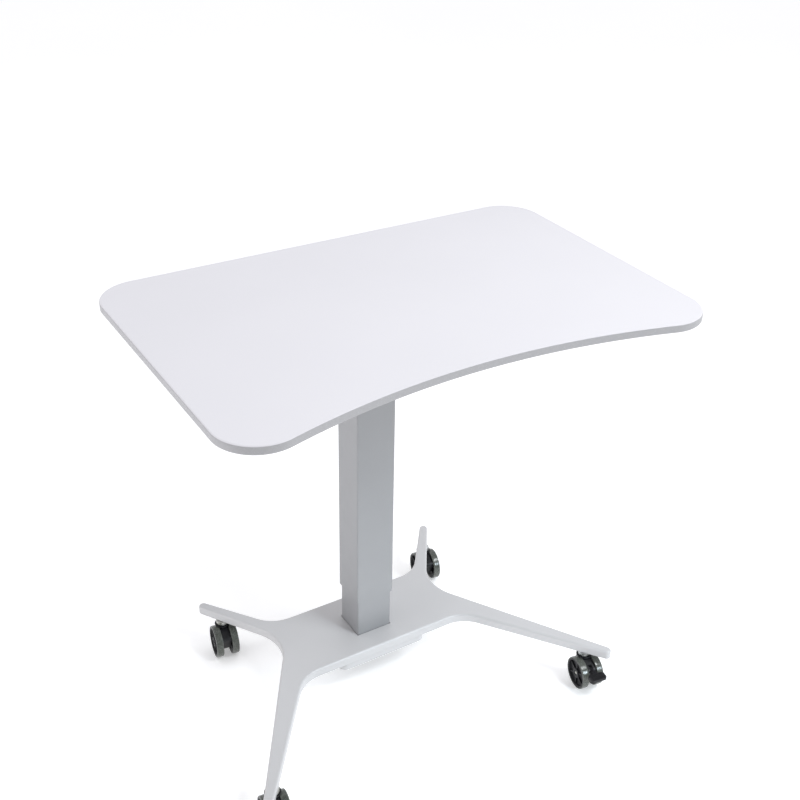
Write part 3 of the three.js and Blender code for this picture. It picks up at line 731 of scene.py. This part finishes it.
def make_release():
    pivot = Vector(JOINTS["release_lever_hinge"]["pos_m"])
    head_low, head_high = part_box("release_head")
    half = (head_high.y - head_low.y) / 2
    sheet = 3.2 * MM
    foot = block("release_bracket", (head_low.x, COLUMN.y - half, head_low.z),
                 (head_high.x, COLUMN.y + half, head_low.z + sheet), 0.8 * MM)
    ear_in = LEVER_WIDTH / 2 + 0.3 * MM
    ears = []
    for sign in (-1, 1):
        near, far = sorted((COLUMN.y + sign * ear_in, COLUMN.y + sign * (ear_in + 3 * MM)))
        ears.append(ear("ear", pivot, 11 * MM, head_low.z + MM, head_high.z, near, far))
    collar = lathe("collar", rod_profile(13 * MM, head_low.z, head_low.z + 5.2 * MM, 0.6 * MM),
                   at(COLUMN.x, COLUMN.y), 48)
    combine(foot, "UNION", ears + [collar])
    combine(foot, "DIFFERENCE", [column_bore(CLAMP_BORE, head_low.z, head_high.z)])
    settle(foot, "top", "black_steel", "release_head")

    low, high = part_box("lever_pivot_pin")
    profile = rod_profile(2.4 * MM, low.y, high.y, 0.4 * MM)
    pin = lathe("pivot_pin", profile, at(pivot.x, 0, pivot.z) @ TO_Y, 32)
    settle(pin, "top", "zinc", "lever_pivot_pin")

    line = [(x * MM, z * MM) for x, z in LEVER_LINE]
    strip = bent_strip(line, LEVER_THICKNESS, 14 * MM, 10)
    bm = bmesh.new()
    half = LEVER_WIDTH / 2
    loft(bm, [[(x, y, z) for x, z in strip] for y in (COLUMN.y - half, COLUMN.y + half)])
    arm = round_edges(make_object("lever_arm", bm), 0.6 * MM)
    across = at(pivot.x, COLUMN.y, pivot.z) @ TO_Y
    boss = lathe("boss", rod_profile(6 * MM, -half, half, 0.4 * MM), across, 40)
    combine(arm, "UNION", [boss])
    settle(arm, "release_lever", "black_steel", "release_lever")
    make_grip()


def ear(name, pivot, half, low, high, near, far):
    """Upright ear whose top is rounded about the pivot."""
    rise = high - 6 * MM
    outline = [(-half, low), (half, low)]
    for step in range(13):
        angle = math.pi * step / 12
        outline.append((half * math.cos(angle), rise + (high - rise) * math.sin(angle)))
    bm = bmesh.new()
    loft(bm, [[(pivot.x + x, y, z) for x, z in outline] for y in (near, far)])
    return round_edges(make_object(name, bm), 0.4 * MM)


def make_grip():
    """Soft-edged grip with four shallow finger waves on its underside."""
    low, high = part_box("lever_grip")
    centre = (low + high) / 2
    half_y, half_z = (high.y - low.y) / 2, (high.z - low.z) / 2
    rings = []
    steps = 72
    for step in range(steps + 1):
        share = step / steps
        from_end = min(share, 1 - share) * (high.x - low.x)
        rim = 6 * MM
        swell = 1.0 if from_end > rim else math.sqrt(max(0.0, 1 - (1 - from_end / rim) ** 2)) * 0.35 + 0.65
        wave = 0.07 * (1 - math.cos(math.tau * 4 * share)) / 2
        ring = []
        for i in range(48):
            angle = math.tau * i / 48
            c, q = math.cos(angle), math.sin(angle)
            y = math.copysign(abs(c) ** 0.55, c) * half_y * swell
            z = math.copysign(abs(q) ** 0.55, q) * half_z * swell
            if z < 0:
                z *= 1 - 2.2 * wave
            ring.append((low.x + share * (high.x - low.x), centre.y + y, centre.z + z))
        rings.append(ring)
    bm = bmesh.new()
    loft(bm, rings)
    settle(round_edges(make_object("grip_body", bm), 0.8 * MM), "release_lever", "black_nylon", "lever_grip")


# ---------- the base ----------

def base_circles():
    """The legs' tips and the hollows between them; a negative radius is a hollow."""
    right = [
        (FRONT_VALLEY_X, BASE_FRONT_Y - VALLEY_RADIUS, -VALLEY_RADIUS),
        FRONT_TIP,
        WAIST,
        REAR_TIP,
        (REAR_VALLEY_X, BASE_REAR_Y + VALLEY_RADIUS, -VALLEY_RADIUS),
    ]
    circles = right + [(-x, y, r) for x, y, r in reversed(right)]
    return [(x * MM, y * MM + PLAN_Y, r * MM) for x, y, r in circles]


def make_base():
    plate_low = BASE_HIGH.z - BASE_THICKNESS
    body = plate("base_casting_body", base_circles(), plate_low, BASE_HIGH.z, BASE_EDGE, 3 * MM,
                 below=2 * MM, support=1 * MM)
    centre = (COLUMN.x, COLUMN.y)
    skirt = plate("skirt", rounded_rect(SKIRT_SIZE, centre), BASE_LOW.z, plate_low + 3 * MM, 0.5 * MM,
                  below=1.5 * MM)
    pocket = plate("pocket", rounded_rect(POCKET_SIZE, centre), BASE_LOW.z - 5 * MM, plate_low, 0.5 * MM)
    gap = 0.6 * MM
    opening = block("opening", (INNER_LOW.x - gap, INNER_LOW.y - gap, plate_low - 0.01),
                    (INNER_HIGH.x + gap, INNER_HIGH.y + gap, BASE_HIGH.z + 0.01))
    combine(body, "UNION", [skirt])
    combine(body, "DIFFERENCE", [pocket, opening])
    settle(body, "base", "cast_paint", "base_casting")


# ---------- casters: prototypes in the caster's own frame ----------
# The stem axis is Z, the axle is along X at WHEEL_RADIUS and the wheels trail towards -Y.

def collar_prototype():
    low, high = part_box("caster_rear_left_stem")
    top = BASE_HIGH.z - BASE_THICKNESS - 0.3 * MM
    foot = 62.4 * MM
    profile = [(0, low.z), (4.6 * MM, low.z), (5 * MM, low.z + 0.4 * MM), (5 * MM, foot), (10.2 * MM, foot),
               (11 * MM, foot + 0.8 * MM), (11 * MM, foot + 3 * MM), (10.4 * MM, foot + 3.3 * MM),
               (10.4 * MM, foot + 3.9 * MM), (11 * MM, foot + 4.2 * MM), (11 * MM, top - 0.5 * MM),
               (10.5 * MM, top), (5 * MM, top), (5 * MM, high.z), (0, high.z)]
    return lathe("collar_prototype", profile)


def tread_prototype():
    """Ring with rounded shoulders and fine running grooves."""
    half = TREAD_WIDTH / 2
    shoulder = 1.6 * MM
    steps = 6
    curve = []
    for step in range(1, steps):
        angle = math.pi / 2 * step / steps
        radius = WHEEL_RADIUS - shoulder * (1 - math.sin(angle))
        curve.append((radius, half - shoulder * (1 - math.cos(angle))))
    profile = [(TREAD_INNER, -half), (WHEEL_RADIUS - shoulder, -half)]
    profile += [(radius, -z) for radius, z in curve]
    floor = WHEEL_RADIUS - 0.3 * MM
    for groove in (-3, -1, 1, 3):
        z = groove * 1.1 * MM
        profile += [(WHEEL_RADIUS, z - 0.35 * MM), (floor, z - 0.15 * MM),
                    (floor, z + 0.15 * MM), (WHEEL_RADIUS, z + 0.35 * MM)]
    profile += curve[::-1]
    profile += [(WHEEL_RADIUS - shoulder, half), (TREAD_INNER, half), (TREAD_INNER, -half)]
    return lathe("tread_prototype", profile, segments=120, smooth_angle=50)


# (radius, height) in millimetres of the wheel body's two sides
INNER_DISH = (
    (3.2, -6.2), (6.6, -6.2), (7.0, -5.8), (7.6, -4.2),
    (22.6, -4.2), (23.6, -5.0), (24.2, -6.0), (24.6, -6.4),
)
OUTER_DISH = (
    (25.0, 6.4), (24.6, 6.1), (23.2, 2.4), (22.4, 2.0), (11.2, 2.0), (10.2, 2.6), (9.4, 5.6), (8.8, 6.1),
    (6.4, 6.2), (5.8, 5.7), (3.2, 5.6), (3.2, -6.2),
)


def core_prototype():
    """Wheel body with its outer side up: dished web with ribs outside, a shallow one inside."""
    half = TREAD_WIDTH / 2 - 0.1 * MM
    rim = TREAD_INNER - 0.02 * MM
    edge = 0.3 * MM
    profile = [(radius * MM, z * MM) for radius, z in INNER_DISH]
    profile += [(rim - edge, -half), (rim, -half + edge), (rim, half - edge), (rim - edge, half)]
    profile += [(radius * MM, z * MM) for radius, z in OUTER_DISH]
    core = lathe("core_prototype", profile, segments=96, smooth_angle=30)
    ribs = []
    for i in range(6):
        for low, high in ((-5.6, -3.6), (1.6, 4.6)):
            rib = block("rib", (8.4 * MM, -1.1 * MM, low * MM), (23.6 * MM, 1.1 * MM, high * MM), 0.4 * MM)
            rib.data.transform(Matrix.Rotation(math.tau * i / 6, 4, "Z"))
            ribs.append(rib)
    return combine(core, "UNION", ribs)


def axle_prototype():
    reach = 19.75 * MM
    dimple = [(0, -reach + 1.0 * MM), (1.2 * MM, -reach), (2.5 * MM, -reach), (3 * MM, -reach + 0.5 * MM),
              (3 * MM, reach - 0.5 * MM), (2.5 * MM, reach), (1.2 * MM, reach), (0, reach - 1.0 * MM)]
    return lathe("axle_prototype", dimple, at(0, -TRAIL, WHEEL_RADIUS) @ TO_X, 32)


def housing_prototype(braked):
    half = HOUSING_WIDTH / 2
    circles = [(-TRAIL, WHEEL_RADIUS, 17 * MM), (0, 48 * MM, 12.5 * MM), (PEDAL_Y, PEDAL_Z, 5.5 * MM)]
    side = [(half, *point) for point in belt(circles, 0.0, 1.5 * MM)]
    bm = bmesh.new()
    loft(bm, [[(x * sign, y, z) for x, y, z in side] for sign in (-1, 1)])
    body = round_edges(make_object("housing", bm), 1.2 * MM, 3)
    neck_outline = belt(rounded_rect((HOUSING_WIDTH, 25 * MM, 4 * MM)), 0.0, 1 * MM)
    neck = prism("neck", neck_outline, 46 * MM, 61.0 * MM)
    flange = lathe("flange", rod_profile(14 * MM, 60.3 * MM, 61.8 * MM, 0.5 * MM))
    combine(body, "UNION", [neck, flange])
    if braked:
        slot = block("slot", (-3.3 * MM, -44.5 * MM, 37.5 * MM), (3.3 * MM, -22.5 * MM, 61.8 * MM))
        combine(body, "DIFFERENCE", [slot])
    return body


def pedal_prototype():
    low, high = 44 * MM, 49 * MM
    outline = belt(rounded_rect((32 * MM, 17 * MM, 5 * MM), (0, -51.5 * MM)), 0.0, 1 * MM)
    tread = prism("pedal", outline, low, high, edge=1.2 * MM, segments=3)
    arm = block("arm", (-6 * MM, -45 * MM, low + 0.3 * MM), (6 * MM, -35.5 * MM, high - 0.3 * MM), 0.8 * MM)
    tongue = block("tongue", (-3 * MM, -42 * MM, 42.5 * MM), (3 * MM, -25 * MM, high), 0.6 * MM)
    hinge = at(0, PEDAL_Y, PEDAL_Z) @ TO_X
    trunnion = lathe("trunnion", rod_profile(2 * MM, -6.95 * MM, 6.95 * MM, 0.3 * MM), hinge, 24)
    grooves = [block("groove", (-12 * MM, y * MM, high - 0.7 * MM), (12 * MM, (y + 1.4) * MM, high + MM))
               for y in (-57, -53.7, -50.4, -47.1)]
    combine(tread, "UNION", [arm, tongue, trunnion])
    return combine(tread, "DIFFERENCE", grooves)


def make_casters():
    collar = collar_prototype()
    tread = tread_prototype()
    core = core_prototype()
    axle = axle_prototype()
    housings = {braked: housing_prototype(braked) for braked in (False, True)}
    pedal = pedal_prototype()
    for name in CASTERS:
        swivel = f"caster_{name}_swivel"
        stem = JOINTS[f"{swivel}_joint"]["pos_m"]
        axis = JOINTS[f"caster_{name}_left_wheel_spin"]["axis"]
        own = at(stem[0], stem[1]) @ Matrix.Rotation(math.atan2(axis[1], axis[0]), 4, "Z")
        braked = f"caster_{name}_pedal" in frame["bodies"]

        def stamp(prototype, part, matrix=Matrix()):
            return copy_of(prototype, f"caster_{name}_{part}", own @ matrix)

        settle(stamp(collar, "collar"), "base", "zinc", f"caster_{name}_stem")
        settle(stamp(housings[braked], "fork"), swivel, "black_nylon", f"caster_{name}_housing")
        settle(stamp(axle, "axle_rod"), swivel, "zinc", f"caster_{name}_axle")
        for side, sign in (("left", -1), ("right", 1)):
            wheel = f"caster_{name}_{side}_wheel"
            place = at(sign * WHEEL_X, -TRAIL, WHEEL_RADIUS) @ Matrix.Rotation(sign * math.pi / 2, 4, "Y")
            settle(stamp(core, f"{side}_disc", place), wheel, "black_nylon", f"{wheel}_core")
            settle(stamp(tread, f"{side}_tyre", place), wheel, "polyurethane", f"{wheel}_tread")
        if braked:
            foot = stamp(pedal, "pedal_plate")
            settle(foot, f"caster_{name}_pedal", "black_nylon", f"caster_{name}_brake_pedal")
    discard(collar, tread, core, axle, pedal, *housings.values())


# ---------- CAD nodes that stay ----------

def finish_kept_nodes():
    slots = {part["node"]: part["material_slot"] for part in frame["record"]["subparts"]}
    for node, obj in frame["nodes"].items():
        if obj.hide_render:
            continue
        obj.data.materials.clear()
        obj.data.materials.append(FINISHES[slots[node]])


# ---------- stage, light and camera ----------

def make_stage():
    bm = bmesh.new()
    bmesh.ops.create_grid(bm, x_segments=1, y_segments=1, size=12.0)
    floor = make_object("floor", bm)
    s = Surface("floor", 0.8)
    s.shader.inputs["Specular IOR Level"].default_value = 0.2
    colour = s.mix(s.remap(s.noise(0.8, 2.0), 0.3, 0.7), (0.935, 0.935, 0.935), (0.95, 0.95, 0.95))
    s.shader.inputs["Emission Color"].default_value = (1.0, 1.0, 1.0, 1.0)
    s.shader.inputs["Emission Strength"].default_value = FLOOR_GLOW
    floor.data.materials.append(s.set(Base_Color=colour))


def add_light(name, kind, place, target, energy, colour, **settings):
    data = bpy.data.lights.new(name, kind)
    data.energy = energy
    data.color = colour
    for setting, value in settings.items():
        setattr(data, setting, value)
    light = bpy.data.objects.new(name, data)
    light.location = place
    light.rotation_mode = "QUATERNION"
    light.rotation_quaternion = (Vector(target) - Vector(place)).to_track_quat("-Z", "Y")
    bpy.context.scene.collection.objects.link(light)


def make_light():
    """A pale room, dimmer to the user's left front, with a high key, a left fill and a column spot."""
    world = bpy.data.worlds.new("studio")
    world.use_nodes = True
    nodes, links = world.node_tree.nodes, world.node_tree.links
    place = nodes.new("ShaderNodeTexCoord")
    facing = nodes.new("ShaderNodeVectorMath")
    facing.operation = "DOT_PRODUCT"
    facing.inputs[1].default_value = DIM_SIDE
    links.new(place.outputs["Generated"], facing.inputs[0])
    strength = nodes.new("ShaderNodeMapRange")
    strength.inputs["From Min"].default_value = DIM_FROM
    strength.inputs["From Max"].default_value = DIM_TO
    strength.inputs["To Min"].default_value = ROOM_BRIGHT
    strength.inputs["To Max"].default_value = ROOM_DIM
    links.new(facing.outputs["Value"], strength.inputs["Value"])
    sky = nodes["Background"]
    sky.inputs["Color"].default_value = (0.97, 0.97, 1.0, 1.0)
    links.new(strength.outputs["Result"], sky.inputs["Strength"])
    bpy.context.scene.world = world
    add_light("key", "AREA", (1.07, -1.46, 2.64), (0.1, 0.0, 0.5), 34, (0.95, 0.985, 1.0), size=0.8)
    add_light("left_fill", "AREA", (-3.0, 0.4, 0.8), (0.0, 0.0, 0.5), 22, (1.0, 0.98, 1.0), size=1.6)
    add_light("column_fill", "SPOT", (0.75, -1.75, 0.95), (0.0, 0.05, 0.0), 65, (0.80, 0.92, 1.0),
              spot_size=math.radians(36), spot_blend=1.0, shadow_soft_size=0.2)


def make_camera():
    data = bpy.data.cameras.new("camera")
    data.sensor_width = 36
    data.lens = CAMERA_LENS
    data.shift_x, data.shift_y = CAMERA_SHIFT
    data.dof.use_dof = False
    data.clip_start, data.clip_end = 0.05, 50
    camera = bpy.data.objects.new("camera", data)
    yaw, down, roll = (math.radians(angle) for angle in (CAMERA_YAW, CAMERA_DOWN, CAMERA_ROLL))
    ahead = Vector((-math.sin(yaw) * math.cos(down), math.cos(yaw) * math.cos(down), -math.sin(down)))
    level = ahead.to_track_quat("-Z", "Y").to_matrix().to_4x4()
    camera.matrix_world = Matrix.Translation(CAMERA_PLACE) @ level @ Matrix.Rotation(roll, 4, "Z")
    bpy.context.scene.collection.objects.link(camera)
    bpy.context.scene.camera = camera
    bpy.context.scene.view_settings.view_transform = "Standard"


make_camera()
make_light()
make_stage()
make_top()
make_rails()
make_fasteners()
make_column()
make_plates()
make_release()
make_base()
make_casters()
finish_kept_nodes()

bpy.context.view_layer.update()
